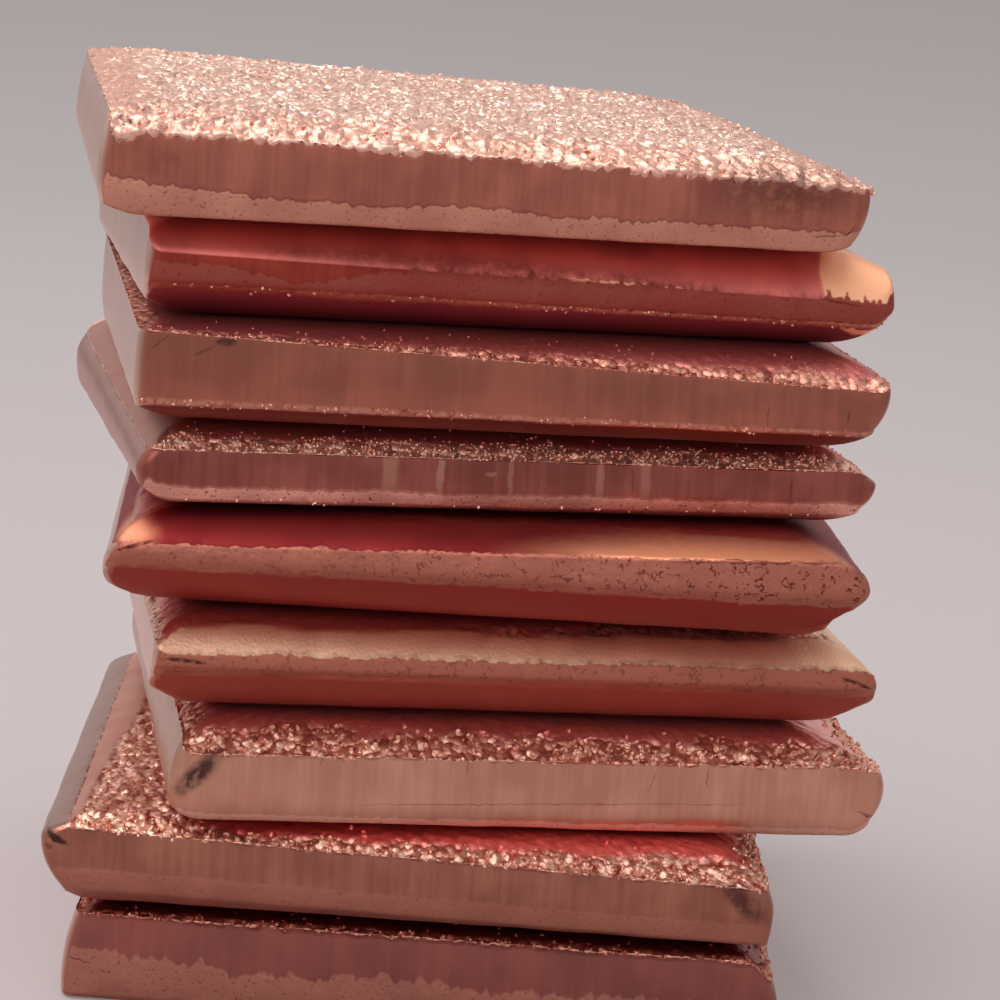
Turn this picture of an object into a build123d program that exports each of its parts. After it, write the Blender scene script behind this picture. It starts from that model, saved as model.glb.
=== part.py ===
"""A stack of nine loose squares of cut copper plate, each sheared on its four edges.

The squares lie flat one on another, turned and shifted a little, as dropped into a pile.
The shear bends both faces of the plate over towards the cut, and leaves a cut that bulges:
its middle stands out and its upper and lower corners stand back.
Millimetres. +X runs along the front, +Y to the back, +Z up. The origin is on the floor,
under the middle of the bottom square.
"""
from build123d import *
import os
from math import cos, radians, sin
from typing import NamedTuple

side = 25.4           # nominal width of a square, one inch
plate = 3.6           # nominal thickness of the plate that the squares are sheared from
corner_radius = 0.5   # the upright corners, dulled by the shear


class Edge(NamedTuple):
    """The outline of one sheared edge. It may change evenly from its near or left end on."""
    top: float                # how far the upper corner has bent down from the top face
    under: float              # how far the lower corner has bent up from the underside
    crest: float = 0.10       # how far the upper corner stands back from the waist
    foot: float = 0.25        # how far the lower corner stands back from the waist
    waist: float = 1.6        # height over the underside at which the cut stands out furthest
    roll: float = 2.4         # how far in from the waist the top face starts to bend down
    under_roll: float = 2.4   # how far in from the waist the underside starts to bend up
    top_more: float = 0.0     # how much lower the upper corner is by the edge's other end
    under_more: float = 0.0   # how much higher the lower corner is by the edge's other end
    waist_more: float = 0.0   # how much higher the waist is by the edge's other end


class Square(NamedTuple):
    """One square, as it differs from the nominal one, and where it lies."""
    spare: float              # extra width, over the waists of two opposite edges
    growth: float             # extra thickness
    turn: float               # degrees about the upright axis, counterclockwise from above
    right: float              # shift of its centre to the right
    back: float               # shift of its centre to the back
    front_edge: Edge
    back_edge: Edge
    left_edge: Edge
    right_edge: Edge
    taper: float = 0.0        # how much thicker its left edge is than its right one


# From the bottom of the stack to its top
squares = [
    Square(0.4, 0.00, 0.0, 0.0, 0.0,
           front_edge=Edge(0.30, 0.12, crest=0.05, foot=0.05, waist=1.3),
           back_edge=Edge(0.25, 0.45),
           left_edge=Edge(0.35, 0.12, crest=0.40, foot=0.05, waist=0.8),
           right_edge=Edge(1.10, 0.15, crest=0.35, foot=0.05, waist=1.2)),
    Square(0.7, 0.00, 1.5, -1.0, -0.8,
           front_edge=Edge(0.40, 0.95, crest=0.05, foot=0.15, top_more=0.65, under_more=-0.50),
           back_edge=Edge(0.35, 0.60),
           left_edge=Edge(0.30, 0.55, crest=1.00, foot=1.05, waist=2.7),
           right_edge=Edge(1.15, 0.35, crest=0.25, foot=0.10, roll=3.0)),
    Square(0.4, 0.25, 9.5, 1.4, 0.0,
           front_edge=Edge(1.10, 0.30, crest=0.05, foot=0.25, waist=1.2, top_more=-0.20),
           back_edge=Edge(0.40, 0.60),
           left_edge=Edge(0.60, 0.75, crest=0.45, foot=0.10, waist=1.4),
           right_edge=Edge(1.10, 0.90, crest=0.20, foot=0.40, waist=2.0, roll=4.0)),
    Square(0.4, 0.40, 9.5, 0.7, -1.4,
           front_edge=Edge(1.30, 2.10, crest=0.05, foot=0.25, waist=2.4, under_roll=5.0, top_more=-0.20),
           back_edge=Edge(0.70, 0.80),
           left_edge=Edge(0.80, 0.90, foot=0.50),
           right_edge=Edge(1.30, 1.30, crest=0.15, foot=0.50, waist=2.1, roll=3.2)),
    Square(0.7, 0.35, 4.0, 0.55, -4.05,
           front_edge=Edge(1.15, 2.15, crest=0.05, foot=0.25, waist=2.6, under_roll=5.5, top_more=-0.80),
           back_edge=Edge(0.60, 0.80),
           left_edge=Edge(1.20, 0.90, crest=0.30, foot=0.25, waist=1.9),
           right_edge=Edge(0.80, 1.60, crest=0.25, foot=0.90, waist=2.6, roll=3.0)),
    Square(0.6, -0.60, 12.0, -0.6, -2.0,
           front_edge=Edge(0.92, 0.30, crest=0.05, foot=0.15, waist=1.2, top_more=-0.08, under_more=0.25),
           back_edge=Edge(0.50, 0.60),
           left_edge=Edge(1.00, 0.85, crest=0.35, foot=0.10, waist=1.3, under_more=-0.75, waist_more=-0.20),
           right_edge=Edge(1.10, 0.75, crest=0.35, foot=0.50, roll=3.0)),
    Square(0.5, -0.10, 9.5, -0.1, -3.5,
           front_edge=Edge(0.25, 0.75, crest=0.05, foot=0.10, top_more=0.95),
           back_edge=Edge(0.50, 0.55),
           left_edge=Edge(0.25, 0.60, crest=0.05, foot=0.10, waist=1.2, under_more=-0.55),
           right_edge=Edge(0.90, 0.95, foot=0.45, waist=2.2, roll=3.0)),
    Square(0.4, -0.15, 10.5, -0.3, -2.9,
           front_edge=Edge(1.10, 1.20, crest=0.05, foot=0.20, waist=1.5, top_more=0.60, under_more=-0.30),
           back_edge=Edge(0.60, 0.55),
           left_edge=Edge(0.40, 0.60, crest=0.15, foot=0.10, waist=1.4, under_more=-0.55, waist_more=-1.0),
           right_edge=Edge(0.60, 1.20, crest=0.30, foot=0.25, roll=3.4)),
    Square(0.6, -0.10, 9.0, -1.45, -4.15,
           front_edge=Edge(0.80, 0.12, crest=0.05, foot=0.15, waist=1.1, top_more=-0.20),
           back_edge=Edge(0.25, 0.50),
           left_edge=Edge(0.35, 0.45, crest=0.35, foot=0.15, waist=1.2),
           right_edge=Edge(0.75, 0.40, crest=0.05, foot=0.50, waist=1.9, roll=5.0),
           taper=0.75),
]


def section(plane, width, heights, edges, far):
    """The upright section of a square between two opposite edges.

    `heights` are the plate's thickness at the two edges, and `far` is how far along the
    edges the section lies, from 0 at their near or left end to 1 at the other.
    """
    half = width / 2
    slope = (heights[1] - heights[0]) / width
    middle_height = sum(heights) / 2
    flat_ends = {0: [], middle_height: []}
    with BuildSketch(plane) as outline:
        with BuildLine():
            for out, edge, height in zip((-1, 1), edges, heights):
                top_flat = out * (half - edge.roll)
                top_start = (top_flat, middle_height + slope * top_flat)
                under_start = (out * (half - edge.under_roll), 0)
                upper = (out * (half - edge.crest), height - edge.top - far * edge.top_more)
                waist = (out * half, edge.waist + far * edge.waist_more)
                lower = (out * (half - edge.foot), edge.under + far * edge.under_more)
                TangentArc(top_start, upper, tangent=(out, out * slope))
                Polyline(upper, waist, lower)
                TangentArc(under_start, lower, tangent=(out, 0))
                flat_ends[middle_height].append(top_start)
                flat_ends[0].append(under_start)
            for start, end in flat_ends.values():
                Line(start, end)
        make_face()
    return outline.sketch


os.makedirs("parts", exist_ok=True)

level = 0.0           # height of the face that the next square lies on
for number, square in enumerate(squares, start=1):
    turn = radians(square.turn)
    to_right = Vector(cos(turn), sin(turn), 0)
    to_back = Vector(-sin(turn), cos(turn), 0)
    middle = Vector(square.right, square.back, level)
    width = side + square.spare
    thickness = plate + square.growth
    left_height = thickness + square.taper / 2
    right_height = thickness - square.taper / 2
    side_edges = (square.left_edge, square.right_edge)
    end_edges = (square.front_edge, square.back_edge)
    across = [
        section(Plane(middle + to_back * shift, to_right, -to_back), width,
                (left_height, right_height), side_edges, far)
        for shift, far in ((-width / 2, 0), (width / 2, 1))]
    along = [
        section(Plane(middle + to_right * shift, to_back, to_right), width,
                (height, height), end_edges, far)
        for shift, height, far in ((-width / 2, left_height, 0), (width / 2, right_height, 1))]
    with BuildPart() as piece:
        with BuildSketch(Plane(middle, to_right)):
            RectangleRounded(width, width, corner_radius)
        extrude(amount=max(left_height, right_height))
        loft(across, ruled=True, mode=Mode.INTERSECT)
        loft(along, ruled=True, mode=Mode.INTERSECT)
    piece.part.label = f"square_{number}"
    export_step(piece.part, f"parts/square_{number}.step")
    level += thickness
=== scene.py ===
from math import cos, radians, sin
from typing import NamedTuple

import bpy
import numpy as np
from mathutils import Matrix, Vector


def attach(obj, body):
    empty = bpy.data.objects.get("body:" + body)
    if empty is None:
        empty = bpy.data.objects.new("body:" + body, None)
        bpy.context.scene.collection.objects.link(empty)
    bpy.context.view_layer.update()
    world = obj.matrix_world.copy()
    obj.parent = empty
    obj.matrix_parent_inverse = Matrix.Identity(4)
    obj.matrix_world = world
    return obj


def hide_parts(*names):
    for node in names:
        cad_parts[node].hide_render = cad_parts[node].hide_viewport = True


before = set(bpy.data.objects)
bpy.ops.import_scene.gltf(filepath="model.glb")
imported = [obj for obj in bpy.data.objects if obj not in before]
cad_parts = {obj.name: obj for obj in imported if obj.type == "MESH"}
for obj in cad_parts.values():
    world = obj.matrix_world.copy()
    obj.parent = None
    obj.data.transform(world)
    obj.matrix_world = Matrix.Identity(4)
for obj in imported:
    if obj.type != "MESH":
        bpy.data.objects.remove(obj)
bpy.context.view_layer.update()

# The bottom square of the pile. Like the rest it is cut copper cathode: plate grown by
# electrolysis, with a crystalline upper face, then sheared to an inch on its four sides.
# The blade bends the faces over, rubs part of each cut smooth and tears the rest.
mm = 0.001
side = 25.4             # nominal width of a square
plate = 3.6             # nominal thickness of the plate
corner_radius = 0.5     # the upright corners, dulled by the shear
across = 240            # mesh columns along the front and back cuts, one every 0.11 mm
deep = 130              # mesh columns along the left and right cuts
roll_rows = 16          # mesh rows over the bend of the upper face
band_rows = 18          # mesh rows down each cut
under_rows = 10         # mesh rows under the lower corner
turn_width = 0.6        # over how much of a corner one cut's finish gives way to the next
zones = ("grown", "tall", "smeared", "matte", "torn", "pitted", "flank_reflection", "under", "inner", "lumps")


class Edge(NamedTuple):
    """The outline of one sheared edge, in millimetres. It may change evenly along the edge."""
    top: float                # how far the upper corner has bent down from the top face
    under: float              # how far the lower corner has bent up from the underside
    crest: float = 0.10       # how far the upper corner stands back from the waist
    foot: float = 0.25        # how far the lower corner stands back from the waist
    waist: float = 1.6        # height over the underside at which the cut stands out furthest
    roll: float = 2.4         # how far in from the waist the top face starts to bend down
    under_roll: float = 2.4   # how far in from the waist the underside starts to bend up
    top_more: float = 0.0     # how much lower the upper corner is by the edge's other end
    under_more: float = 0.0   # how much higher the lower corner is by the edge's other end
    waist_more: float = 0.0   # how much higher the waist is by the edge's other end


class Cut(NamedTuple):
    """How the blade has left a cut, in millimetres. Shares count down from its upper corner."""
    tear: float = 1.3         # share of its height at which torn copper starts; over 1 none is torn
    tear_end: float = 1.3     # share at which torn copper ends
    ragged: float = 0.05      # how far the start of the tear wanders
    dips: tuple = ()          # places where the tear starts lower: (along, width, how far)
    pits: float = 0.0         # how thickly holes have opened in the torn copper, from 0 to 1
    pits_more: float = 0.0    # how much more thickly by the cut's other end
    lip: float = 0.0          # how far the crystals hang over the upper corner
    hangs: tuple = ()         # places where the lip hangs lower: (along, width, how far)
    strip: float = 0.6        # how far in the crystals reach over the upper face before painted shade starts
    strip_more: float = 0.0   # how much further in by the cut's other end
    spreads: tuple = ()       # places where they reach further in: (along, width, how far)
    smear: float = 0.0        # how far in the blade has rubbed the crystals flat
    smear_more: float = 0.0   # how much further in by the cut's other end
    matte: float = 0.0        # how dull that rubbed strip is, from 0 to 1
    burr: float = 0.0         # how thickly grains stand along the lower corner, from 0 to 1
    burr_more: float = 0.0    # how much more thickly by the cut's other end


class Mark(NamedTuple):
    """A crack, smudge, pale spot, painted shade or painted light on the front, in millimetres from its middle
    and its foot.
    """
    along: float
    up: float
    length: float             # from its middle to its end
    height: float             # from its middle to its upper rim
    stain_and_shade: float = 0.0        # how dark it is, from 0 to 1; a few of these marks are painted shade
    pale: float = 0.0         # how bright and dull it is, from 0 to 1; on some squares this is painted light
    tilt: float = 0.0         # degrees
    soft: float = 0.5         # the share of it over which it fades


class Square(NamedTuple):
    """One square, as it differs from the nominal one, and where it lies."""
    spare: float
    growth: float
    turn: float
    right: float
    back: float
    front_edge: Edge
    right_edge: Edge
    back_edge: Edge
    left_edge: Edge
    cut: Cut                  # the finish of all cuts but the left one
    left_cut: Cut = Cut()
    rim: float = 0.6          # how thickly loose crystals stand along the crest, from 0 to 1
    crest_shade: float = 0.0  # how much painted shade darkens the upper face near the crest, from 0 to 1
    cover: float = 3.4        # how far in from its edges the upper face can be seen
    taper: float = 0.0        # how much thicker its left edge is than its right one
    marks: tuple = ()


def bend(run, reach, drop):
    """How far a face has bent away at `run` past the start of an arc that ends at (reach, drop)."""
    drop = np.maximum(drop, 0.001)
    radius = (reach ** 2 + drop ** 2) / (2 * drop)
    return radius - np.sqrt(radius ** 2 - np.clip(run, 0, reach) ** 2)


def wander(run, period, seed):
    """A smooth random line between -1 and 1 round a square, whose bends lie about `period` apart."""
    around = 2 * run[-1] - run[-2]
    bends = max(3, round(around / period))
    knots = np.random.default_rng(seed).uniform(-1, 1, bends)
    cell = np.floor(run / around * bends).astype(int)
    part = run / around * bends - cell
    part = part * part * (3 - 2 * part)
    return knots[cell % bends] * (1 - part) + knots[(cell + 1) % bends] * part


def knobs(run, narrow, wide, seed):
    """Rounded lobes side by side round a square: 0 where two meet, up to 1 in the middle of one."""
    chance = np.random.default_rng(seed)
    ends = np.cumsum(chance.uniform(narrow, wide, int(run[-1] / narrow) + 2))
    sizes = chance.uniform(0.3, 1.0, len(ends))
    lobe = np.searchsorted(ends, run, side="right")
    start = np.concatenate([[0.0], ends])[lobe]
    off = (run - start) / (ends[lobe] - start) * 2 - 1
    return sizes[lobe] * np.sqrt(np.clip(1 - off ** 2, 0, 1))


def ease(value):
    """0 below 0, 1 above 1 and a smooth step between."""
    value = np.clip(value, 0, 1)
    return value * value * (3 - 2 * value)


def square_mesh(name, square, level, seed):
    """The square as a closed mesh: rings of points round it, from inside its upper face, over
    the crest, down the cut and in under it. Each point holds how much it belongs to each zone."""
    half = (side + square.spare) / 2
    thick = plate + square.growth
    edges = (square.front_edge, square.right_edge, square.back_edge, square.left_edge)

    over = np.arange(across) / across * 2 - 1
    inward = np.arange(deep) / deep * 2 - 1
    ring_x = np.concatenate([over, np.ones(deep), -over, -np.ones(deep)])
    ring_y = np.concatenate([-np.ones(across), inward, np.ones(across), -inward])
    run = np.concatenate([over + 1, inward + 3, over + 5, inward + 7]) * half
    count = len(run)
    left = ease(0.5 + np.where(ring_x == -1, 1 - abs(ring_y), -1 - ring_x) * half / turn_width)
    front = ease(0.5 + np.where(ring_y == -1, 1 - abs(ring_x), -1 - ring_y) * half / turn_width)

    def finish(field, more=None):
        """A value of the cuts' finish round the square."""
        values = []
        for cut, far in ((square.cut, ring_x), (square.left_cut, ring_y)):
            growth = getattr(cut, more) * (far + 1) / 2 if more else 0.0
            values.append(getattr(cut, field) + growth)
        return values[0] * (1 - left) + values[1] * left

    def places(field):
        """The front's dips, hangs or spreads, added up round the square."""
        total = np.zeros(count)
        for along, width, size in getattr(square.cut, field):
            total += size * np.exp(-((ring_x * half - along) / width) ** 2)
        return total * front

    def faces_at(x, y):
        """Heights of the upper face and of the underside, at local x and y. Where two edges
        meet, their bends run into each other."""
        drops, rises = 0, 0
        for edge, out, far in zip(edges, (-y, x, y, -x), (x, y, x, y)):
            share = (far / half + 1) / 2
            drops += bend(out - half + edge.roll, edge.roll - edge.crest,
                          edge.top + share * edge.top_more) ** 6
            rises += bend(out - half + edge.under_roll, edge.under_roll - edge.foot,
                          edge.under + share * edge.under_more) ** 6
        return thick - square.taper * x / (2 * half) - drops ** (1 / 6), rises ** (1 / 6)

    def place(z, inset, unit_x=ring_x, unit_y=ring_y):
        """Local x and y of points at height z on the cut, moved `inset` inwards."""
        insets = []
        height = thick - square.taper * unit_x / 2
        for edge, far in zip(edges, (unit_x, unit_y, unit_x, unit_y)):
            share = (far + 1) / 2
            crest_z = height - edge.top - share * edge.top_more
            foot_z = edge.under + share * edge.under_more
            waist = edge.waist + share * edge.waist_more
            above = np.clip((z - waist) / (crest_z - waist), 0, 1) ** 2 * edge.crest
            below = np.clip((waist - z) / (waist - foot_z), 0, 1) ** 2 * edge.foot
            insets.append(np.where(z > waist, above, below) + inset)
        near, right, back, left = -half + insets[0], half - insets[1], half - insets[2], -half + insets[3]
        x = left + (unit_x + 1) / 2 * (right - left)
        y = near + (unit_y + 1) / 2 * (back - near)
        radius = np.maximum(corner_radius - inset, 0.0)
        centre_x = np.clip(x, left + radius, right - radius)
        centre_y = np.clip(y, near + radius, back - radius)
        off_x, off_y = x - centre_x, y - centre_y
        far_off = np.maximum(abs(off_x), abs(off_y))
        length = np.maximum(np.hypot(off_x, off_y), 1e-9)
        scale = np.where((off_x != 0) & (off_y != 0), far_off / length, 1)
        return centre_x + off_x * scale, centre_y + off_y * scale

    crest_z = np.full(count, thick)
    foot_z = np.zeros(count)
    for _ in range(3):
        crest_z = faces_at(*place(crest_z, 0.0))[0]
        foot_z = faces_at(*place(foot_z, 0.0))[1]

    # The crystals hang over the crest in rounded lobes of two sizes
    lip = finish("lip")
    lobes = 0.7 * knobs(run, 0.30, 0.85, seed) + 0.3 * knobs(run, 0.16, 0.32, seed + 1)
    tooth = np.maximum(lip * (0.1 + 0.9 * lobes) + places("hangs"), 0.02)
    has_lip = square.cut.lip > 0
    rows = []

    def add_row(x, y, z, **values):
        values["flank_reflection"] = left
        parts = [values.get(zone, 0.0) for zone in zones]
        rows.append(np.stack(np.broadcast_arrays(x, y, z, *parts), axis=1).astype(float))

    # Where the cut is torn, measured down from the crest along the outline
    band_top = crest_z - tooth * has_lip
    band = band_top - foot_z
    line = finish("tear") * band + places("dips")
    line = line + finish("ragged") * (0.6 * wander(run, 2.2, seed + 3) + 0.4 * wander(run, 0.5, seed + 4))
    end = finish("tear_end") * band + 0.08 * wander(run, 1.0, seed + 5)
    pits = finish("pits", "pits_more")

    def torn_at(depth):
        """Half where the tear starts or ends, and rising or falling by 1 a millimetre there."""
        return np.clip(0.5 + np.minimum(depth - line, end - depth), 0, 1)

    smear = finish("smear", "smear_more") * (1 + 0.15 * wander(run, 2.5, seed + 2))
    strip = (finish("strip", "strip_more") + places("spreads")) * (1 + 0.3 * wander(run, 0.9, seed + 6))
    row_count = roll_rows if square.cover < 4 else 3 * roll_rows
    for inset in square.cover * np.linspace(1, 0, row_count) ** 1.2:
        x, y = place(crest_z, inset)
        grown = np.where(smear > 0.05, ease((inset - smear) / 0.3 + 0.5), 1.0)
        # Painted shade on the upper face beyond the strip of bright crystals, where the square above shades
        # it, and by the top square's crest
        inner = ease((inset - strip) / 0.3 + 0.5) if square.cover != open_cover else 0.0
        shown = 1.0 if square.cover == open_cover else ease((square.cover - inset) / 0.6)
        add_row(x, y, faces_at(x, y)[0], grown=grown, smeared=1 - grown, matte=finish("matte"),
                torn=torn_at(-inset), pitted=pits, tall=grown * shown * (1 - 0.6 * inner),
                inner=inner + square.crest_shade * ease(1.2 - inset / 2.0),
                lumps=square.rim * grown * (1 - left) * (1 - 0.9 * inner) * ease(2.0 - inset / 0.8))
    if has_lip:
        for drop, out in ((0.15, 0.7), (0.6, 1.0), (1.0, 0.7)):
            x, y = place(crest_z, -0.02 - 0.3 * lip * out)
            add_row(x, y, crest_z - tooth * drop, grown=1.0, tall=0.7, lumps=square.rim * (1 - left),
                    inner=square.crest_shade)
    burr = finish("burr", "burr_more")
    steps = np.linspace(0, 1, band_rows)
    for step in steps if has_lip else steps[1:]:
        z = band_top - band * step
        x, y = place(z, 0.0)
        grains = burr * ease((step - 0.88) / 0.06)
        add_row(x, y, z, grown=grains, tall=0.6 * grains, lumps=grains, torn=torn_at(band * step),
                pitted=pits)
    under_reach = max(edge.under_roll for edge in edges) + 0.4
    for inset in under_reach * np.linspace(0, 1, under_rows)[1:] ** 1.4:
        x, y = place(foot_z, inset)
        add_row(x, y, faces_at(x, y)[1], under=1.0, torn=torn_at(band + inset), pitted=pits)

    points = np.concatenate(rows)
    here = np.arange(count)
    beside = np.roll(here, -1)
    last = (len(rows) - 1) * count
    quads = np.concatenate([
        np.stack([i * count + here, (i + 1) * count + here, (i + 1) * count + beside,
                  i * count + beside], axis=1) for i in range(len(rows) - 1)])
    faces = quads.tolist() + [(last + here[::-1]).tolist()]
    if square.cover == open_cover:
        index = np.full((across + 1, deep + 1), -1)
        span, rise = np.arange(across), np.arange(deep)
        index[span, 0] = span
        index[across, rise] = across + rise
        index[across - span, deep] = across + deep + span
        index[0, deep - rise] = 2 * across + deep + rise
        hollow = index < 0
        index[hollow] = len(points) + np.arange(hollow.sum())
        grid_x, grid_y = np.meshgrid(np.arange(across + 1) / across * 2 - 1,
                                     np.arange(deep + 1) / deep * 2 - 1, indexing="ij")
        x, y = place(thick, square.cover, grid_x[hollow], grid_y[hollow])
        flat = [np.full(len(x), float(zone in ("grown", "tall"))) for zone in zones]
        points = np.concatenate([points, np.stack([x, y, faces_at(x, y)[0], *flat], axis=1)])
        faces += np.stack([index[:-1, :-1], index[1:, :-1], index[1:, 1:], index[:-1, 1:]],
                          axis=-1).reshape(-1, 4).tolist()
    else:
        faces.append(here.tolist())

    x, y, z = points[:, :3].T
    turn = radians(square.turn)
    made = bpy.data.meshes.new(name)
    world = np.stack([x * cos(turn) - y * sin(turn) + square.right,
                      x * sin(turn) + y * cos(turn) + square.back, z + level], axis=1) * mm
    made.from_pydata(world.tolist(), [], faces)
    for key, values in zip(zones, points[:, 3:].T):
        made.attributes.new(key, "FLOAT", "POINT").data.foreach_set("value", values.astype(np.float32))
    made.polygons.foreach_set("use_smooth", np.ones(len(faces), bool))
    made.update()
    return made


open_cover = 2.6        # the top square's rings end where its roll does, and a grid goes on


def add(tree, kind, links=None, out=0, **settings):
    """Adds a node with its settings, its values and its links, and returns one of its outputs."""
    node = tree.nodes.new(kind)
    for key, value in settings.items():
        setattr(node, key, value)
    for socket, value in (links or {}).items():
        if isinstance(value, bpy.types.NodeSocket):
            tree.links.new(value, node.inputs[socket])
        else:
            node.inputs[socket].default_value = value
    return node.outputs[out] if node.outputs else node


def relief_tree():
    """Raises crystals, tears and drag lines on a square, and seats loose crystals on its rims."""
    tree = bpy.data.node_groups.new("copper_relief", "GeometryNodeTree")
    face = tree.interface
    face.new_socket("Square", in_out="INPUT", socket_type="NodeSocketGeometry")
    for label, value in (("Crystal Size", 0.32 * mm), ("Crystal Height", 0.11 * mm),
                         ("Tear Size", 0.30 * mm), ("Tear Depth", 0.025 * mm),
                         ("Drag Spacing", 0.6 * mm), ("Drag Depth", 0.012 * mm),
                         ("Dent Size", 3.0 * mm), ("Dent Depth", 0.10 * mm),
                         ("Lump Size", 0.20 * mm)):
        socket = face.new_socket(label, in_out="INPUT", socket_type="NodeSocketFloat")
        socket.default_value = value
    face.new_socket("Seed", in_out="INPUT", socket_type="NodeSocketInt")
    face.new_socket("Copper", in_out="INPUT", socket_type="NodeSocketMaterial")
    face.new_socket("Square", in_out="OUTPUT", socket_type="NodeSocketGeometry")
    given = tree.nodes.new("NodeGroupInput").outputs
    shift = add(tree, "ShaderNodeVectorMath", {0: (0.37, 0.71, 0.13), "Scale": given["Seed"]},
                operation="SCALE")
    place = add(tree, "ShaderNodeVectorMath",
                {0: add(tree, "GeometryNodeInputPosition"), 1: shift}, operation="ADD")
    zone = {key: add(tree, "GeometryNodeInputNamedAttribute", {"Name": key}, data_type="FLOAT")
            for key in ("grown", "tall", "torn", "lumps")}

    # Crystals: rounded cells of uneven height, each with a slanting top
    per_crystal = add(tree, "ShaderNodeMath", {0: 1.0, 1: given["Crystal Size"]}, operation="DIVIDE")
    cell = add(tree, "ShaderNodeTexVoronoi", {"Vector": place, "Scale": per_crystal},
               out="Distance").node.outputs
    dome = add(tree, "ShaderNodeMath", {0: cell["Distance"], 1: 2.0}, operation="POWER")
    luck = add(tree, "ShaderNodeSeparateXYZ", {0: cell["Color"]}).node.outputs
    tall = add(tree, "ShaderNodeMath", {0: luck["X"], 1: 0.9, 2: 0.1}, operation="MULTIPLY_ADD")
    dome = add(tree, "ShaderNodeMath", {0: dome, 1: -2.2, 2: 1.2}, operation="MULTIPLY_ADD")
    dome = add(tree, "ShaderNodeMath", {0: dome, 1: tall}, operation="MULTIPLY")
    lean = add(tree, "ShaderNodeVectorMath", {0: cell["Color"], 1: (0.5, 0.5, 0.5)}, operation="SUBTRACT")
    off = add(tree, "ShaderNodeVectorMath",
              {0: add(tree, "ShaderNodeVectorMath", {0: place, 1: cell["Position"]}, operation="SUBTRACT"),
               "Scale": per_crystal}, operation="SCALE")
    slant = add(tree, "ShaderNodeVectorMath", {0: off, 1: lean}, out="Value", operation="DOT_PRODUCT")
    swell = add(tree, "ShaderNodeTexNoise", {"Vector": place, "Scale": 1 / (1.4 * mm), "Detail": 2.0})
    crystal = add(tree, "ShaderNodeMath", {0: slant, 1: 1.0, 2: dome}, operation="MULTIPLY_ADD")
    crystal = add(tree, "ShaderNodeMath", {0: swell, 1: 1.2, 2: crystal}, operation="MULTIPLY_ADD")
    crystal = add(tree, "ShaderNodeMath", {0: crystal, 1: 1.2}, operation="SUBTRACT")
    crystal = add(tree, "ShaderNodeMath", {0: crystal, 1: given["Crystal Height"]}, operation="MULTIPLY")
    crystal = add(tree, "ShaderNodeMath", {0: crystal, 1: zone["tall"]}, operation="MULTIPLY")

    # Torn copper: a grainy break
    per_tear = add(tree, "ShaderNodeMath", {0: 1.0, 1: given["Tear Size"]}, operation="DIVIDE")
    grain = add(tree, "ShaderNodeTexNoise",
                {"Vector": place, "Scale": per_tear, "Detail": 4.0, "Roughness": 0.65})
    grain = add(tree, "ShaderNodeMath", {0: grain, 1: 0.5}, operation="SUBTRACT")
    torn = add(tree, "ShaderNodeMapRange", {"Value": zone["torn"], "From Min": 0.45, "From Max": 0.55},
               interpolation_type="SMOOTHSTEP")
    tear = add(tree, "ShaderNodeMath", {0: grain, 1: given["Tear Depth"]}, operation="MULTIPLY")
    tear = add(tree, "ShaderNodeMath", {0: tear, 1: 2.0}, operation="MULTIPLY")
    tear = add(tree, "ShaderNodeMath", {0: tear, 1: torn}, operation="MULTIPLY")

    # Drag lines: upright ridges where the blade has rubbed, over broad shallow dents
    per_line = add(tree, "ShaderNodeMath", {0: 1.0, 1: given["Drag Spacing"]}, operation="DIVIDE")
    upright = add(tree, "ShaderNodeVectorMath", {0: place, 1: (1, 1, 0.06)}, operation="MULTIPLY")
    ridge = add(tree, "ShaderNodeTexNoise", {"Vector": upright, "Scale": per_line, "Detail": 2.0})
    ridge = add(tree, "ShaderNodeMath", {0: ridge, 1: 0.5}, operation="SUBTRACT")
    per_dent = add(tree, "ShaderNodeMath", {0: 1.0, 1: given["Dent Size"]}, operation="DIVIDE")
    dent = add(tree, "ShaderNodeTexNoise", {"Vector": place, "Scale": per_dent, "Detail": 1.0})
    dent = add(tree, "ShaderNodeMath", {0: dent, 1: 0.5}, operation="SUBTRACT")
    dent = add(tree, "ShaderNodeMath", {0: dent, 1: given["Dent Depth"]}, operation="MULTIPLY")
    ridge = add(tree, "ShaderNodeMath", {0: ridge, 1: given["Drag Depth"], 2: dent},
                operation="MULTIPLY_ADD")
    smooth = add(tree, "ShaderNodeMath", {0: 1.0, 1: zone["grown"]}, operation="SUBTRACT")
    ridge = add(tree, "ShaderNodeMath", {0: ridge, 1: smooth}, operation="MULTIPLY")

    rise = add(tree, "ShaderNodeMath", {0: crystal, 1: tear}, operation="ADD")
    rise = add(tree, "ShaderNodeMath", {0: rise, 1: ridge}, operation="ADD")
    offset = add(tree, "ShaderNodeVectorMath",
                 {0: add(tree, "GeometryNodeInputNormal"), "Scale": rise}, operation="SCALE")
    body = add(tree, "GeometryNodeSetPosition", {"Geometry": given["Square"], "Offset": offset})

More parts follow.
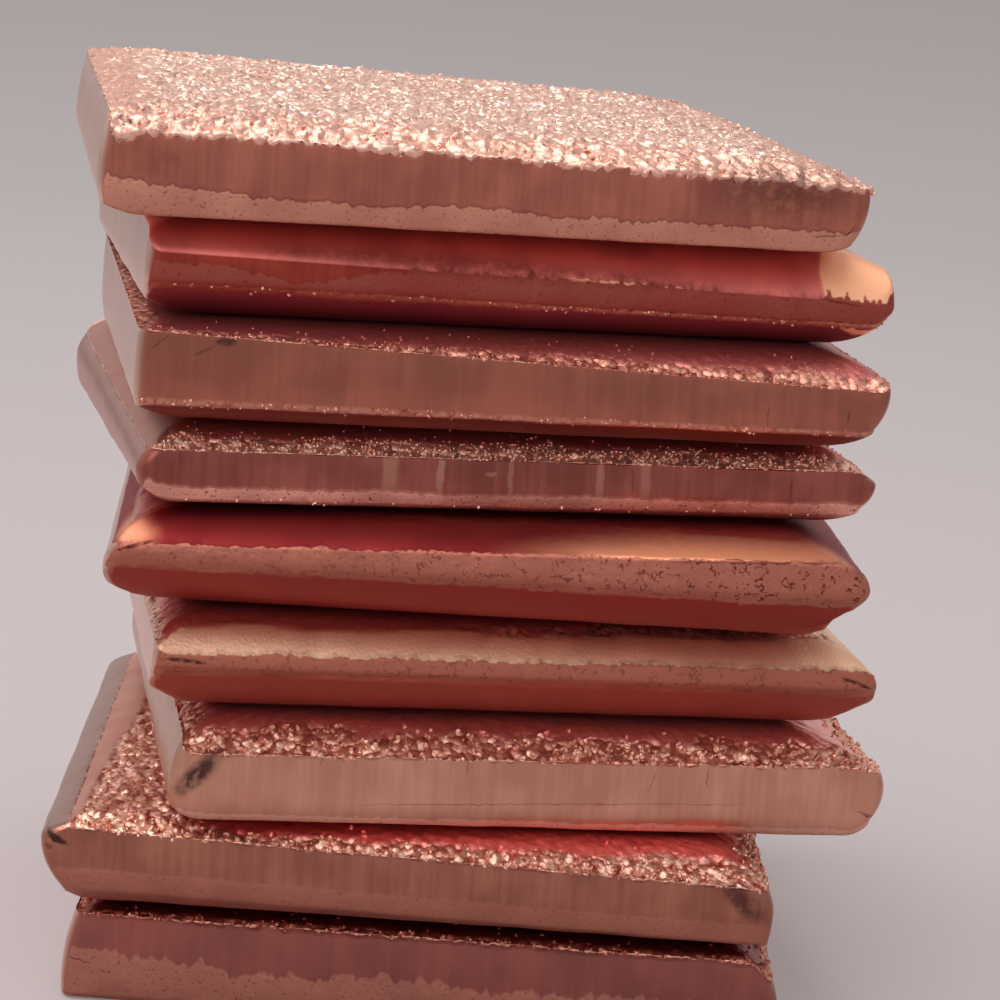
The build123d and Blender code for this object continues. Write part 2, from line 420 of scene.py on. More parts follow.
    # Loose crystals: small faceted grains, thickest along the crests and burrs
    per_area = add(tree, "ShaderNodeMath", {0: given["Lump Size"], 1: -2.0}, operation="POWER")
    density = add(tree, "ShaderNodeMath", {0: per_area, 1: zone["lumps"]}, operation="MULTIPLY")
    density = add(tree, "ShaderNodeMath", {0: density, 1: 0.7}, operation="MULTIPLY")
    seats = add(tree, "GeometryNodeDistributePointsOnFaces",
                {"Mesh": body, "Density": density, "Seed": given["Seed"]}).node.outputs
    grain_mesh = add(tree, "GeometryNodeMeshIcoSphere", {"Radius": 0.5, "Subdivisions": 1})
    grain_mesh = add(tree, "GeometryNodeSetShadeSmooth", {"Geometry": grain_mesh, "Shade Smooth": False})
    for key in ("grown", "tall"):
        grain_mesh = add(tree, "GeometryNodeStoreNamedAttribute",
                         {"Geometry": grain_mesh, "Name": key, "Value": 1.0}, data_type="FLOAT")
    spin = add(tree, "FunctionNodeRandomValue", {"Max": (6.28, 6.28, 6.28), "Seed": given["Seed"]},
               data_type="FLOAT_VECTOR")
    stretch = add(tree, "FunctionNodeRandomValue",
                  {"Min": (0.5, 0.5, 0.4), "Max": (1.4, 1.2, 0.9), "Seed": given["Seed"]},
                  data_type="FLOAT_VECTOR")
    stretch = add(tree, "ShaderNodeVectorMath", {0: stretch, "Scale": given["Lump Size"]}, operation="SCALE")
    grains = add(tree, "GeometryNodeInstanceOnPoints",
                 {"Points": seats["Points"], "Instance": grain_mesh, "Rotation": spin, "Scale": stretch})
    joined = add(tree, "GeometryNodeJoinGeometry", {0: body})
    tree.links.new(grains, joined.node.inputs[0])
    real = add(tree, "GeometryNodeRealizeInstances", {"Geometry": joined})
    done = add(tree, "GeometryNodeSetMaterial", {"Geometry": real, "Material": given["Copper"]})
    add(tree, "NodeGroupOutput", {"Square": done})
    return tree


def linear(hex_colour):
    """An sRGB colour written as hex, as the linear colour that a shader takes."""
    parts = [int(hex_colour[i:i + 2], 16) / 255 for i in (1, 3, 5)]
    return tuple(v / 12.92 if v <= 0.04045 else ((v + 0.055) / 1.055) ** 2.4 for v in parts) + (1.0,)


class Tones(NamedTuple):
    """The colours that one square's copper has taken on, and the painted light and shade laid on it."""
    crystal: str              # fresh crystals
    crystal_shade: str         # painted shade: the crystals that catch no painted glint, and the clefts between them
    rubbed: str               # where the blade has rubbed the cut
    rubbed_dark: str
    torn: str                 # where the cut has torn
    smeared: str = "#f2c4ac"  # crystals rubbed flat on the upper face
    flank_reflection: str = "#dcb4a4"    # painted reflection: the left-hand cut in the light it reflects at a slant, on most squares brighter than the others
    under: str = "#b8625a"    # the underside where it bends up
    inner: str = "#e08c80"    # painted shade on the upper face between two squares, and by the top square's crest
    pale: str = "#fad4bc"     # bright marks: paler copper, and painted light on some squares
    stain_and_shade: str = "#3a2226"    # dark marks: stains, and painted shade on some squares
    brink_shading: str = "#4a2c2a"    # painted shade along the line at which the tear starts; where this tone is paler, a painted highlight


def sheared_copper(name, tones, square, level):
    """Bare copper, in air for some weeks: pale pink on the grown crystals, brown where the blade
    has rubbed it, dull pink where it has torn. A metal throughout, at the default IOR."""
    copper = bpy.data.materials.new(name)
    copper.use_nodes = True
    tree = copper.node_tree
    tree.nodes.clear()
    place = add(tree, "ShaderNodeTexCoord", out="Object")
    zone = {key: add(tree, "ShaderNodeAttribute", out="Fac", attribute_name=key) for key in zones}

    # Crystals, some 0.24 mm across: each is domed and leans its own way
    grain_size = 0.24 * mm
    cell = add(tree, "ShaderNodeTexVoronoi", {"Vector": place, "Scale": 1 / grain_size},
               out="Color").node.outputs
    lean = add(tree, "ShaderNodeVectorMath", {0: cell["Color"], 1: (0.5, 0.5, 0.5)}, operation="SUBTRACT")
    off = add(tree, "ShaderNodeVectorMath", {0: place, 1: cell["Position"]}, operation="SUBTRACT")
    facet = add(tree, "ShaderNodeVectorMath", {0: off, 1: lean}, out="Value", operation="DOT_PRODUCT")
    dome = add(tree, "ShaderNodeMath", {0: cell["Distance"], 1: 2.0}, operation="POWER")
    dome = add(tree, "ShaderNodeMath", {0: dome, 1: -0.3 * grain_size, 2: facet}, operation="MULTIPLY_ADD")
    open_grown = add(tree, "ShaderNodeMapRange", {"Value": zone["inner"], "To Min": 1.0, "To Max": 0.2})
    open_grown = add(tree, "ShaderNodeMath", {0: open_grown, 1: zone["grown"]}, operation="MULTIPLY")
    facet = add(tree, "ShaderNodeMath", {0: dome, 1: open_grown}, operation="MULTIPLY")

    # Torn copper starts at a frayed line
    ragged = add(tree, "ShaderNodeTexNoise", {"Vector": place, "Scale": 1 / (0.35 * mm), "Detail": 2.0,
                                              "Roughness": 0.7})
    upright = add(tree, "ShaderNodeMapping", {"Vector": place, "Scale": (1, 1, 0.05)})
    threads = add(tree, "ShaderNodeTexNoise", {"Vector": upright, "Scale": 1 / (0.3 * mm), "Detail": 1.0})
    fray = add(tree, "ShaderNodeMath", {0: ragged, 1: 0.2, 2: zone["torn"]}, operation="MULTIPLY_ADD")
    jag = 3 * square.cut.ragged
    fray = add(tree, "ShaderNodeMath", {0: threads, 1: jag, 2: fray}, operation="MULTIPLY_ADD")
    middle = 0.6 + jag / 2
    is_torn = add(tree, "ShaderNodeMapRange", {"Value": fray, "From Min": middle - 0.03,
                                               "From Max": middle + 0.03},
                  interpolation_type="SMOOTHSTEP")
    flat = add(tree, "ShaderNodeMath", {0: 1.0, 1: is_torn}, operation="SUBTRACT")
    # Painted shade along the line where the tear starts; a paler tone makes it a painted highlight
    brink_shading = add(tree, "ShaderNodeMapRange", {"Value": fray, "From Min": middle - 0.12,
                                             "From Max": middle - 0.03, "To Max": 0.35})
    brink_shading = add(tree, "ShaderNodeMath", {0: brink_shading, 1: flat}, operation="MULTIPLY")
    plain = add(tree, "ShaderNodeMath", {0: flat, 1: zone["grown"]}, operation="SUBTRACT", use_clamp=True)

    # The marks on the front: stains, pale spots, painted shade and painted light. A fray of 0.2 mm moves their
    # outlines by half that on average
    fray_width = 0.2
    frayed = add(tree, "ShaderNodeVectorMath",
                 {0: ragged, 1: (fray_width * mm, 0, fray_width * mm), 2: place}, operation="MULTIPLY_ADD")
    turn = radians(square.turn)
    half = (side + square.spare) / 2
    stain_and_shade, pale = 0.0, 0.0
    for mark in square.marks:
        spot = (mark.along * cos(turn) + half * sin(turn) + square.right + fray_width / 2,
                mark.along * sin(turn) - half * cos(turn) + square.back,
                mark.up + level + fray_width / 2)
        near = add(tree, "ShaderNodeMapping",
                   {"Vector": frayed, "Location": [v * mm for v in spot],
                    "Rotation": (0, -radians(mark.tilt), turn),
                    "Scale": (mark.length * mm, 4 * mm, mark.height * mm)}, vector_type="TEXTURE")
        reach = add(tree, "ShaderNodeVectorMath", {0: near}, out="Value", operation="LENGTH")
        weight = add(tree, "ShaderNodeMapRange",
                     {"Value": reach, "From Min": 1.0, "From Max": 1 - mark.soft,
                      "To Max": mark.stain_and_shade or mark.pale}, interpolation_type="SMOOTHSTEP")
        if mark.stain_and_shade:
            stain_and_shade = add(tree, "ShaderNodeMath", {0: weight, 1: stain_and_shade}, operation="MAXIMUM")
        else:
            pale = add(tree, "ShaderNodeMath", {0: weight, 1: pale}, operation="MAXIMUM")
    pale = add(tree, "ShaderNodeMath", {0: plain, 1: pale}, operation="MULTIPLY")
    broken = add(tree, "ShaderNodeMapRange", {"Value": ragged, "From Min": 0.35, "From Max": 0.55,
                                              "To Min": 0.45})
    stain_and_shade = add(tree, "ShaderNodeMath", {0: broken, 1: stain_and_shade}, operation="MULTIPLY")

    # Holes in the torn copper, like short worm tracks
    if square.cut.pits > 0:
        track = add(tree, "ShaderNodeTexNoise", {"Vector": place, "Scale": 1 / (0.22 * mm), "Detail": 1.0})
        track = add(tree, "ShaderNodeMath", {0: track, 1: 0.5, 2: 0.05}, operation="COMPARE")
        gaps = add(tree, "ShaderNodeTexNoise", {"Vector": place, "Scale": 1 / (0.3 * mm), "Detail": 1.0})
        gaps = add(tree, "ShaderNodeMapRange", {"Value": gaps, "From Min": 0.54, "From Max": 0.60,
                                                "To Max": 0.9})
        hole = add(tree, "ShaderNodeMath", {0: track, 1: gaps}, operation="MULTIPLY")
        hole = add(tree, "ShaderNodeMath", {0: hole, 1: zone["pitted"]}, operation="MULTIPLY")
        hole = add(tree, "ShaderNodeMath", {0: hole, 1: is_torn}, operation="MULTIPLY")
        stain_and_shade = add(tree, "ShaderNodeMath", {0: stain_and_shade, 1: hole}, operation="MAXIMUM")

    # Torn grain, about 0.1 mm, and drag lines about as far apart
    grain = add(tree, "ShaderNodeTexNoise", {"Vector": place, "Scale": 1 / (0.12 * mm), "Detail": 1.0,
                                             "Roughness": 0.6})
    torn_face = add(tree, "ShaderNodeMapRange", {"Value": zone["torn"], "From Min": 0.45,
                                                 "From Max": 0.55})
    dull = add(tree, "ShaderNodeMath", {0: zone["matte"], 1: zone["smeared"]}, operation="MULTIPLY")
    gritty = add(tree, "ShaderNodeMath", {0: torn_face, 1: dull}, operation="MAXIMUM")
    tear = add(tree, "ShaderNodeMath", {0: grain, 1: 0.022 * mm}, operation="MULTIPLY")
    tear = add(tree, "ShaderNodeMath", {0: tear, 1: gritty}, operation="MULTIPLY")
    lines = add(tree, "ShaderNodeTexNoise", {"Vector": upright, "Scale": 1 / (0.14 * mm), "Detail": 1.0,
                                             "Roughness": 0.6})
    rubbed = add(tree, "ShaderNodeMath", {0: 1.0, 1: torn_face}, operation="SUBTRACT")
    rubbed = add(tree, "ShaderNodeMath", {0: rubbed, 1: zone["grown"]}, operation="SUBTRACT",
                 use_clamp=True)
    drag = add(tree, "ShaderNodeMath", {0: lines, 1: 0.005 * mm}, operation="MULTIPLY")
    drag = add(tree, "ShaderNodeMath", {0: drag, 1: rubbed}, operation="MULTIPLY")
    height = add(tree, "ShaderNodeMath", {0: facet, 1: tear}, operation="ADD")
    height = add(tree, "ShaderNodeMath", {0: height, 1: drag}, operation="ADD")
    sharpness = 1.0 if square.cover == open_cover else 0.6
    bump = add(tree, "ShaderNodeBump", {"Height": height, "Strength": sharpness, "Distance": 1.0})

    # The blade's rub, in upright streaks, clouded by tarnish
    cloud = add(tree, "ShaderNodeTexNoise", {"Vector": place, "Scale": 1 / (2.2 * mm), "Detail": 2.0})
    streak = add(tree, "ShaderNodeMath", {0: threads, 1: 0.3}, operation="MULTIPLY")
    streak = add(tree, "ShaderNodeMath", {0: cloud, 1: 0.58, 2: streak}, operation="MULTIPLY_ADD")
    streak = add(tree, "ShaderNodeMath", {0: lines, 1: 0.12, 2: streak}, operation="MULTIPLY_ADD")
    streak = add(tree, "ShaderNodeMapRange", {"Value": streak, "From Min": 0.40, "From Max": 0.60})
    colour = add(tree, "ShaderNodeMix", {0: streak, 6: linear(tones.rubbed_dark), 7: linear(tones.rubbed)},
                 out=2, data_type="RGBA")
    # Painted reflection: most of the left-hand cut takes its own tone for the light it reflects
    flank_reflection = add(tree, "ShaderNodeMath", {0: zone["flank_reflection"], 1: 0.8}, operation="MULTIPLY")
    colour = add(tree, "ShaderNodeMix", {0: flank_reflection, 6: colour, 7: linear(tones.flank_reflection)}, out=2,
                 data_type="RGBA")

    # The tear, mottled and with a few dark pits
    fleck = add(tree, "ShaderNodeMapRange", {"Value": grain, "From Min": 0.26, "From Max": 0.38})
    mottle = add(tree, "ShaderNodeMapRange", {"Value": cloud, "From Min": 0.35, "From Max": 0.60,
                                              "To Min": 0.65})
    fleck = add(tree, "ShaderNodeMath", {0: fleck, 1: mottle}, operation="MULTIPLY")
    torn_mix = add(tree, "ShaderNodeMix", {0: fleck, 6: linear(tones.rubbed_dark), 7: linear(tones.torn)},
                   out=2, data_type="RGBA")
    colour = add(tree, "ShaderNodeMix", {0: is_torn, 6: colour, 7: torn_mix}, out=2, data_type="RGBA")

    # The faces of the plate
    under = add(tree, "ShaderNodeMath", {0: zone["under"], 1: flat}, operation="MULTIPLY")
    smeared = add(tree, "ShaderNodeMath", {0: zone["smeared"], 1: flat}, operation="MULTIPLY")
    rolled = add(tree, "ShaderNodeMix", {0: mottle, 6: linear(tones.under), 7: linear(tones.smeared)},
                 out=2, data_type="RGBA")
    colour = add(tree, "ShaderNodeMix", {0: smeared, 6: colour, 7: rolled}, out=2, data_type="RGBA")
    colour = add(tree, "ShaderNodeMix", {0: brink_shading, 6: colour, 7: linear(tones.brink_shading)}, out=2,
                 data_type="RGBA")
    colour = add(tree, "ShaderNodeMix", {0: under, 6: colour, 7: linear(tones.under)}, out=2,
                 data_type="RGBA")
    # Painted glints: some crystals are paler at random. Painted shade: the clefts between crystals go to the
    # darker tone
    glint_and_cleft_shade = add(tree, "ShaderNodeSeparateXYZ", {0: cell["Color"]}, out="Z")
    glint_and_cleft_shade = add(tree, "ShaderNodeMath", {0: glint_and_cleft_shade, 1: 0.5, 2: 0.5}, operation="MULTIPLY_ADD")
    cleft = add(tree, "ShaderNodeMapRange", {"Value": cell["Distance"], "From Min": 0.85,
                                             "From Max": 0.45})
    glint_and_cleft_shade = add(tree, "ShaderNodeMath", {0: glint_and_cleft_shade, 1: cleft}, operation="MULTIPLY")
    crystal_mix = add(tree, "ShaderNodeMix", {0: glint_and_cleft_shade, 6: linear(tones.crystal_shade),
                                              7: linear(tones.crystal)}, out=2, data_type="RGBA")
    # Painted shade on the upper face between two squares and by the top square's crest
    crystal_mix = add(tree, "ShaderNodeMix", {0: zone["inner"], 6: crystal_mix, 7: linear(tones.inner)},
                      out=2, data_type="RGBA")
    colour = add(tree, "ShaderNodeMix", {0: zone["grown"], 6: colour, 7: crystal_mix}, out=2,
                 data_type="RGBA")
    # Pale spots: painted light on the fifth and eighth squares, paler copper elsewhere
    colour = add(tree, "ShaderNodeMix", {0: pale, 6: colour, 7: linear(tones.pale)}, out=2,
                 data_type="RGBA")
    # Dark marks: stains, pits, and painted shade on the eighth and top squares
    colour = add(tree, "ShaderNodeMix", {0: stain_and_shade, 6: colour, 7: linear(tones.stain_and_shade)}, out=2,
                 data_type="RGBA")
    rough = add(tree, "ShaderNodeMath", {0: smeared, 1: under}, operation="MAXIMUM")
    rough = add(tree, "ShaderNodeMath", {0: rough, 1: is_torn}, operation="MAXIMUM")
    rough = add(tree, "ShaderNodeMath", {0: rough, 1: pale}, operation="MAXIMUM")
    rough = add(tree, "ShaderNodeMapRange", {"Value": rough, "To Min": 0.30, "To Max": 0.56})
    rough = add(tree, "ShaderNodeMix", {0: zone["grown"], 2: rough, 3: 0.46}, data_type="FLOAT")
    shader = add(tree, "ShaderNodeBsdfPrincipled",
                 {"Base Color": colour, "Roughness": rough, "Metallic": 1.0, "Normal": bump})
    add(tree, "ShaderNodeOutputMaterial", {"Surface": shader})
    return copper


relief = relief_tree()
pile = []


def lay(square, tones, **sizes):
    """Makes a square, works its relief and lays it on the last one."""
    level = sum(plate + below.growth for below in pile)
    pile.append(square)
    name = f"square_{len(pile)}"
    blank = bpy.data.objects.new(f"{name}_blank", square_mesh(name, square, level, 100 * len(pile)))
    bpy.context.scene.collection.objects.link(blank)
    modifier = blank.modifiers.new("relief", "NODES")
    modifier.node_group = relief
    copper = sheared_copper(f"sheared_copper_{len(pile)}", tones, square, level)
    given = {"Seed": len(pile), "Copper": copper}
    given.update({key.replace("_", " ").title(): size * mm for key, size in sizes.items()})
    for item in relief.interface.items_tree:
        if item.in_out == "INPUT" and item.name in given:
            modifier[item.identifier] = given[item.name]
    evaluated = blank.evaluated_get(bpy.context.evaluated_depsgraph_get())
    worked = bpy.data.meshes.new_from_object(evaluated)
    blank.modifiers.remove(modifier)
    bpy.data.objects.remove(blank)
    piece = bpy.data.objects.new(f"copper_{name}", worked)
    bpy.context.scene.collection.objects.link(piece)
    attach(piece, "root")
    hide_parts(name)
    print(name, sum(len(p.vertices) - 2 for p in worked.polygons))


lay(Square(0.4, 0.00, 0.0, 0.0, 0.0,
           front_edge=Edge(0.30, 0.12, crest=0.05, foot=0.05, waist=1.3),
           right_edge=Edge(1.10, 0.15, crest=0.35, foot=0.05, waist=1.2),
           back_edge=Edge(0.25, 0.45),
           left_edge=Edge(0.35, 0.12, crest=0.40, foot=0.05, waist=0.8),
           cut=Cut(tear=0.56, ragged=0.28, dips=((-12.5, 2.5, -0.3),), lip=0.2, strip=0.2),
           left_cut=Cut(lip=0.05), rim=0.7,
           marks=(Mark(-12.2, 1.5, 0.5, 0.05, stain_and_shade=0.6, tilt=-15),)),
    # The dark crystal tones paint the shade that the square above casts on the bottom square
    Tones("#f0b09a", "#9c4838", "#9b5c55", "#8b5550", "#b37767", brink_shading="#d49a86", inner="#8c4038"),
    tear_depth=0.04)

# The second square lies almost in line with the bottom one, with its left edge out in the
# light. There the plate's crystals show, up to a strip that the blade has rubbed flat.
lay(Square(0.7, 0.00, 1.5, -1.0, -0.8,
           front_edge=Edge(0.40, 0.95, crest=0.05, foot=0.15, top_more=0.65, under_more=-0.50),
           right_edge=Edge(1.15, 0.35, crest=0.25, foot=0.10, roll=3.0),
           back_edge=Edge(0.35, 0.60),
           left_edge=Edge(0.30, 0.55, crest=1.00, foot=1.05, waist=2.7),
           cut=Cut(tear=0.66, ragged=0.05, lip=0.10, strip=0.15, strip_more=0.8,
                   spreads=((-13.0, 3.1, 6.5),)),
           left_cut=Cut(strip=7.0, smear=0.3, smear_more=1.5), rim=0.6, cover=6.5,
           marks=(Mark(-12.45, 2.75, 0.6, 0.17, stain_and_shade=0.9, tilt=-28),
                  Mark(-12.75, 2.40, 0.22, 0.12, stain_and_shade=0.8),
                  Mark(11.9, 2.05, 1.5, 0.6, stain_and_shade=0.75, tilt=-38, soft=0.8))),
    Tones("#ffd2ba", "#bc6858", "#a9705d", "#935d50", "#b07463", smeared="#c89484", brink_shading="#a47060",
          flank_reflection="#ac7a68", inner="#ff8f88"),
    crystal_height=0.15, lump_size=0.24)

# The third square has a broad cut that the blade has rubbed smooth from crest to foot.
# Coarse crystals stand along its crest, and the rest of its face is darker.
lay(Square(0.4, 0.25, 9.5, 1.4, 0.0,
           front_edge=Edge(1.10, 0.30, crest=0.05, foot=0.25, waist=1.2, top_more=-0.20),
           right_edge=Edge(1.10, 0.90, crest=0.20, foot=0.40, waist=2.0, roll=4.0),
           back_edge=Edge(0.40, 0.60),
           left_edge=Edge(0.60, 0.75, crest=0.45, foot=0.10, waist=1.4),
           cut=Cut(tear=0.90, ragged=0.06, lip=0.12, strip=0.9), left_cut=Cut(), rim=1.0,
           marks=(Mark(0.75, 1.25, 9.5, 0.035, stain_and_shade=0.4, tilt=1.6),
                  Mark(-11.9, 2.0, 1.5, 0.5, stain_and_shade=0.9, tilt=46, soft=0.7),
                  Mark(-11.2, 2.55, 0.5, 0.12, stain_and_shade=0.6, tilt=25),
                  Mark(-7.6, 2.6, 0.04, 0.40, stain_and_shade=0.35),
                  Mark(-2.4, 2.5, 0.05, 0.35, stain_and_shade=0.3),
                  Mark(4.3, 2.2, 0.04, 0.60, stain_and_shade=0.35, tilt=-20),
                  Mark(6.3, 2.4, 0.04, 0.45, stain_and_shade=0.4),
                  Mark(12.3, 1.15, 0.6, 0.07, stain_and_shade=0.6, tilt=-20))),
    Tones("#ffd0b8", "#c87868", "#cd9680", "#bc846e", "#d8a695", brink_shading="#b47868", flank_reflection="#b98c77",
          inner="#ffb8b0"),
    crystal_height=0.14, lump_size=0.28)

# The fourth square's blade was blunter. It has pressed the crystals along the front flat into
# a dull strip, torn a narrow band under it, and drawn the underside up in a long curve.
lay(Square(0.4, 0.40, 9.5, 0.7, -1.4,
           front_edge=Edge(1.30, 2.10, crest=0.05, foot=0.25, waist=2.4, under_roll=5.0, top_more=-0.20),
           right_edge=Edge(1.30, 1.30, crest=0.15, foot=0.50, waist=2.1, roll=3.2),
           back_edge=Edge(0.70, 0.80),
           left_edge=Edge(0.80, 0.90, foot=0.50),
           cut=Cut(tear=-0.05, tear_end=1.1, ragged=0.05, pits=0.4, strip=0.0, strip_more=2.4, smear=0.9,
                   smear_more=0.3, matte=1.0),
           left_cut=Cut(strip=0.3), rim=0.0,
           marks=(Mark(-11.7, 2.5, 0.9, 0.10, stain_and_shade=0.9, tilt=-6),
                  Mark(12.0, 2.5, 0.8, 0.09, stain_and_shade=0.9, tilt=-18))),
    # The pale smeared tone paints light on the strip, which the square above shades
    Tones("#ffdcc4", "#c87864", "#d89880", "#a4644e", "#b46e5c", smeared="#ffd4b2", under="#a95347",
          inner="#e8948c"))

# The fifth square was sheared with the same blunt blade: a smooth roll, brighter at its right
# where it lies open, a pitted tear, and the underside drawn up to meet it.
lay(Square(0.7, 0.35, 4.0, 0.55, -4.05,
           front_edge=Edge(1.15, 2.15, crest=0.05, foot=0.25, waist=2.6, under_roll=5.5, top_more=-0.80),
           right_edge=Edge(0.80, 1.60, crest=0.25, foot=0.90, waist=2.6, roll=3.0),
           back_edge=Edge(0.60, 0.80),
           left_edge=Edge(1.20, 0.90, crest=0.30, foot=0.25, waist=1.9),
           cut=Cut(tear=-0.05, tear_end=1.15, ragged=0.07, pits=0.15, pits_more=0.85, strip=0.0,
                   smear=2.0),
           left_cut=Cut(smear=0.6), rim=0.0,
           # Painted light on the open right of the roll and a painted highlight at its left corner
           marks=(Mark(7.8, 3.6, 8.4, 0.7, pale=1.0, tilt=1.8, soft=0.8),
                  Mark(-12.2, 3.2, 1.3, 0.7, pale=0.6, soft=0.9),
                  Mark(-12.0, 2.8, 0.9, 0.08, stain_and_shade=0.9, tilt=17),
                  Mark(9.0, 3.45, 3.9, 0.06, stain_and_shade=0.8, tilt=2.6))),
    # The dark red smeared tone paints the fourth square's shade on the roll, and the pale tone is painted
    # light
    Tones("#e8a890", "#a4604c", "#d89880", "#9c5c4c", "#b87463", smeared="#882b2e", under="#9f3f39",
          pale="#ffb48c", stain_and_shade="#5c1c1a", inner="#b04c48", brink_shading="#3a1614"),
    tear_size=0.35, tear_depth=0.05)

# The sixth is the thinnest square. A bright rim of crystals stands over its dark cut, which
# bars of paler copper cross, and a paler lip ends it.
lay(Square(0.6, -0.60, 12.0, -0.6, -2.0,
           front_edge=Edge(0.92, 0.30, crest=0.05, foot=0.15, waist=1.2, top_more=-0.08, under_more=0.25),
           right_edge=Edge(1.10, 0.75, crest=0.35, foot=0.50, roll=3.0),
           back_edge=Edge(0.50, 0.60),
           left_edge=Edge(1.00, 0.85, crest=0.35, foot=0.10, waist=1.3, under_more=-0.75, waist_more=-0.20),
           cut=Cut(tear=0.74, ragged=0.05, lip=0.05, strip=0.6, strip_more=-0.1, burr=0.1),
           left_cut=Cut(smear=1.2), rim=0.7,
           marks=(Mark(-4.4, 1.6, 0.34, 1.8, pale=0.6), Mark(-2.65, 1.6, 0.16, 1.8, pale=0.8),
                  Mark(-0.9, 1.6, 0.25, 0.1, pale=0.6), Mark(-0.2, 1.6, 0.12, 1.8, pale=0.5),
                  Mark(2.95, 1.6, 0.18, 1.8, pale=0.7), Mark(4.55, 1.6, 0.24, 1.8, pale=0.6),
                  Mark(4.1, 1.5, 0.06, 0.6, stain_and_shade=0.6), Mark(9.8, 1.4, 0.06, 0.6, stain_and_shade=0.5))),
    # The crystal tones, the darker almost as pale as the other, paint light on a crest that the square above
    # shades
    Tones("#ffdcc8", "#ffc4ae", "#a15d53", "#874b43", "#eaaa99", smeared="#b48478", pale="#b48070",
          brink_shading="#d89888", flank_reflection="#b8705c"),
    crystal_size=0.24, crystal_height=0.04, lump_size=0.12)

# The seventh square's cut is rubbed from crest to foot, and ends in a row of bright grains
# that the blade has broken off.
lay(Square(0.5, -0.10, 9.5, -0.1, -3.5,
           front_edge=Edge(0.25, 0.75, crest=0.05, foot=0.10, top_more=0.95),
           right_edge=Edge(0.90, 0.95, foot=0.45, waist=2.2, roll=3.0),
           back_edge=Edge(0.50, 0.55),
           left_edge=Edge(0.25, 0.60, crest=0.05, foot=0.10, waist=1.2, under_more=-0.55),
           cut=Cut(lip=0.05, strip=0.2, strip_more=0.2, burr=0.35), left_cut=Cut(), rim=0.5,
           marks=(Mark(-10.0, 2.95, 0.42, 0.18, stain_and_shade=0.7, soft=0.4),
                  Mark(-10.75, 2.62, 0.5, 0.07, stain_and_shade=0.4, tilt=25),
                  Mark(-12.2, 2.85, 0.45, 0.05, stain_and_shade=0.6, tilt=40),
                  Mark(8.6, 1.3, 0.04, 0.5, stain_and_shade=0.4), Mark(11.4, 1.4, 0.06, 0.3, stain_and_shade=0.5))),
    Tones("#f8bca4", "#b46858", "#ab6857", "#985d4f", "#c88878", under="#8d4037", inner="#d07c76"),
    crystal_size=0.24, crystal_height=0.05, lump_size=0.13)

# The eighth square's front is rolled over smoothly, and torn in a wavy band. Its right end
# catches the light past the square above.
lay(Square(0.4, -0.15, 10.5, -0.3, -2.9,
           front_edge=Edge(1.10, 1.20, crest=0.05, foot=0.20, waist=1.5, top_more=0.60, under_more=-0.30),
           right_edge=Edge(0.60, 1.20, crest=0.30, foot=0.25, roll=3.4),
           back_edge=Edge(0.60, 0.55),
           left_edge=Edge(0.40, 0.60, crest=0.15, foot=0.10, waist=1.4, under_more=-0.55, waist_more=-1.0),
           cut=Cut(tear=0.0, tear_end=1.1, ragged=0.12, dips=((-12.4, 2.0, 0.35), (-7.8, 2.4, 0.75)),
                   strip=0.0, smear=2.6, burr=0.12, burr_more=0.5),
           left_cut=Cut(smear=1.5), rim=0.0,
           # Painted light on the right end past the square above and a painted highlight along the roll; the
           # long dark mark is painted shade over the crest
           marks=(Mark(12.0, 2.6, 1.9, 2.2, pale=1.0, soft=0.08),
                  Mark(3.4, 2.0, 2.6, 0.05, pale=0.9, tilt=-1.5),
                  Mark(-1.8, 2.3, 12.0, 0.55, stain_and_shade=0.5, tilt=-1.4, soft=0.8),
                  Mark(10.9, 1.72, 0.9, 0.05, stain_and_shade=0.8, tilt=-8))),
    Tones("#f0b8a0", "#b87060", "#a84438", "#8e3630", "#9d5045", smeared="#e68279", under="#8c4048",
          pale="#ffbf99", brink_shading="#7a3830", flank_reflection="#e8c0b0", stain_and_shade="#6a221e"),
    lump_size=0.15)

# The top square lies open: its whole upper face is pale crystals, which hang over the cut in
# knobs. Under them the cut is rubbed dark, and its lower part is torn.
lay(Square(0.6, -0.10, 9.0, -1.45, -4.15,
           front_edge=Edge(0.80, 0.12, crest=0.05, foot=0.15, waist=1.1, top_more=-0.20),
           right_edge=Edge(0.75, 0.40, crest=0.05, foot=0.50, waist=1.9, roll=5.0),
           back_edge=Edge(0.25, 0.50),
           left_edge=Edge(0.35, 0.45, crest=0.35, foot=0.15, waist=1.2),
           cut=Cut(tear=0.69, ragged=0.10, dips=((-12.9, 3.0, -0.35),), lip=0.45,
                   hangs=((-12.4, 0.4, 0.4),)),
           # crest_shade lays painted shade on the crystals near the crest
           left_cut=Cut(lip=0.15), rim=0.15, crest_shade=0.7, taper=0.75, cover=open_cover,
           marks=(Mark(-12.2, 3.2, 0.42, 0.16, stain_and_shade=0.9, tilt=-10),
                  Mark(9.8, 2.1, 3.6, 1.4, stain_and_shade=0.55, soft=0.9),
                  # Painted shade under the lip at the left
                  Mark(-10.8, 2.0, 2.0, 0.9, stain_and_shade=0.2, soft=0.9),
                  Mark(11.5, 0.68, 0.6, 0.05, stain_and_shade=0.6, tilt=5),
                  Mark(12.3, 0.9, 0.3, 0.05, stain_and_shade=0.6, tilt=50))),
    Tones("#ffdccb", "#dca48f", "#c07662", "#a66357", "#cd917c", inner="#e4ac98", under="#d8988c",
          flank_reflection="#f0c8b8"),
    crystal_height=0.15)

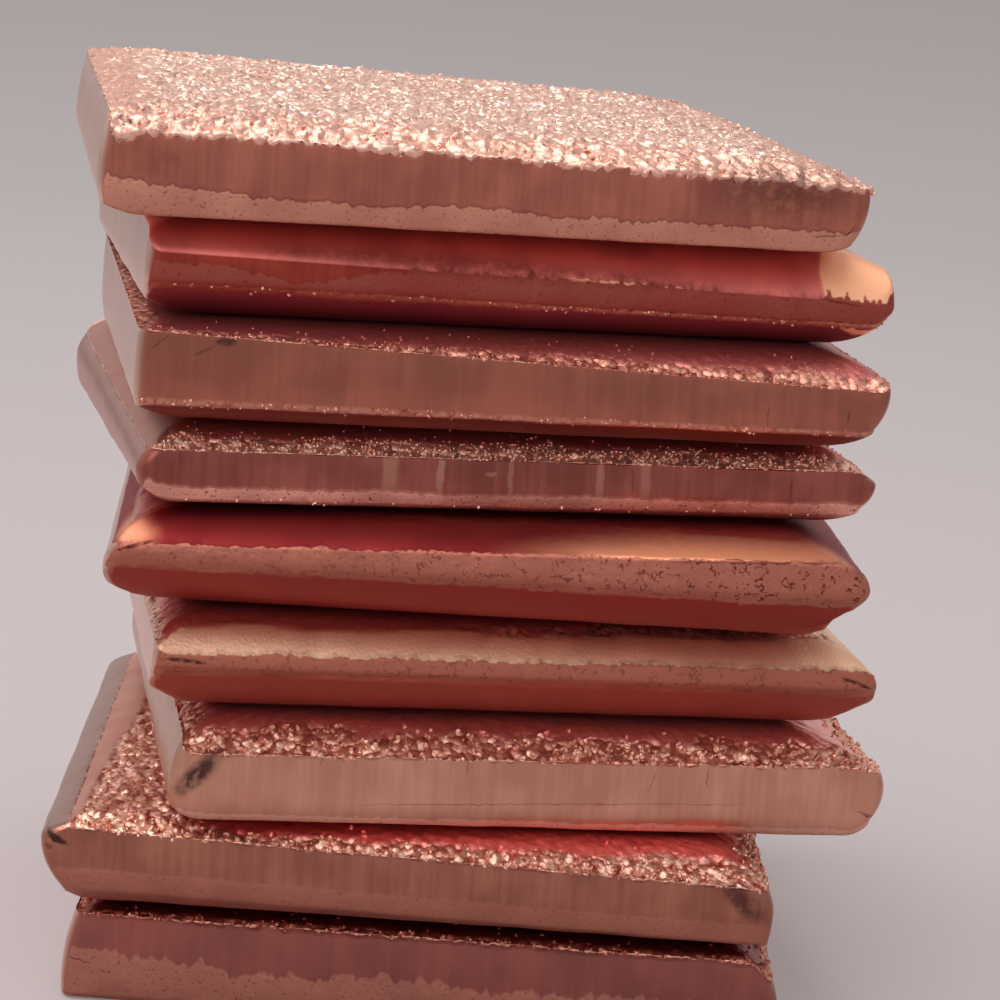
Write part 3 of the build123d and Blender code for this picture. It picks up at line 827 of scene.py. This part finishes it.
# The stage: a pale table that is a little darker far off, soft light from above, and a low
# camera close to the pile.
table_mesh = bpy.data.meshes.new("table")
reach = 3.0
table_mesh.from_pydata([(-reach, -reach, 0), (reach, -reach, 0), (reach, reach, 0), (-reach, reach, 0)],
                       [], [(0, 1, 2, 3)])
table = bpy.data.objects.new("table", table_mesh)
bpy.context.scene.collection.objects.link(table)
paint = bpy.data.materials.new("matt_laminate")
paint.use_nodes = True
tree = paint.node_tree
tree.nodes.clear()
distance = add(tree, "ShaderNodeVectorMath", {0: add(tree, "ShaderNodeTexCoord", out="Object")},
               out="Value", operation="LENGTH")
# Painted light: the table is paler close to the pile, against its shadow, and darker far off
far_off = add(tree, "ShaderNodeMapRange", {"Value": distance, "From Min": 0.03, "From Max": 0.25})
painted_falloff = add(tree, "ShaderNodeMix", {0: far_off, 6: linear("#bcb0b0"), 7: linear("#a39d9c")}, out=2,
           data_type="RGBA")
lit = add(tree, "ShaderNodeBsdfPrincipled", {"Base Color": painted_falloff, "Roughness": 0.8})
glow = add(tree, "ShaderNodeEmission", {"Color": linear("#beb2b2")})
seen = add(tree, "ShaderNodeLightPath", out="Is Camera Ray")
seen = add(tree, "ShaderNodeMath", {0: seen, 1: 0.35}, operation="MULTIPLY")
add(tree, "ShaderNodeOutputMaterial",
    {"Surface": add(tree, "ShaderNodeMixShader", {0: seen, 1: lit, 2: glow})})
table_mesh.materials.append(paint)

scene = bpy.context.scene
world = bpy.data.worlds.new("studio")
world.use_nodes = True
world.node_tree.nodes["Background"].inputs["Color"].default_value = (0.64, 0.63, 0.63, 1)
scene.world = world

for label, spot, size, energy in (("overhead", (-0.14, -0.03, 0.5), 0.45, 2.0),
                                  ("front", (-0.12, -0.36, 0.34), 0.40, 0.7)):
    lamp = bpy.data.lights.new(label, "AREA")
    lamp.size = size
    lamp.energy = energy
    softbox = bpy.data.objects.new(label, lamp)
    softbox.location = spot
    softbox.rotation_euler = (Vector((0, 0, 0.02)) - softbox.location).to_track_quat("-Z", "Y").to_euler()
    scene.collection.objects.link(softbox)

camera = bpy.data.objects.new("camera", bpy.data.cameras.new("camera"))
scene.collection.objects.link(camera)
camera.matrix_world = (Matrix.Translation((1.6 * mm, -134.0 * mm, 42.8 * mm))
                       @ Matrix.Rotation(radians(90 - 10.96), 4, "X") @ Matrix.Rotation(radians(4.21), 4, "Z"))
camera.data.lens = 127.4
camera.data.clip_start = 0.005
scene.camera = camera
scene.view_settings.view_transform = "Standard"
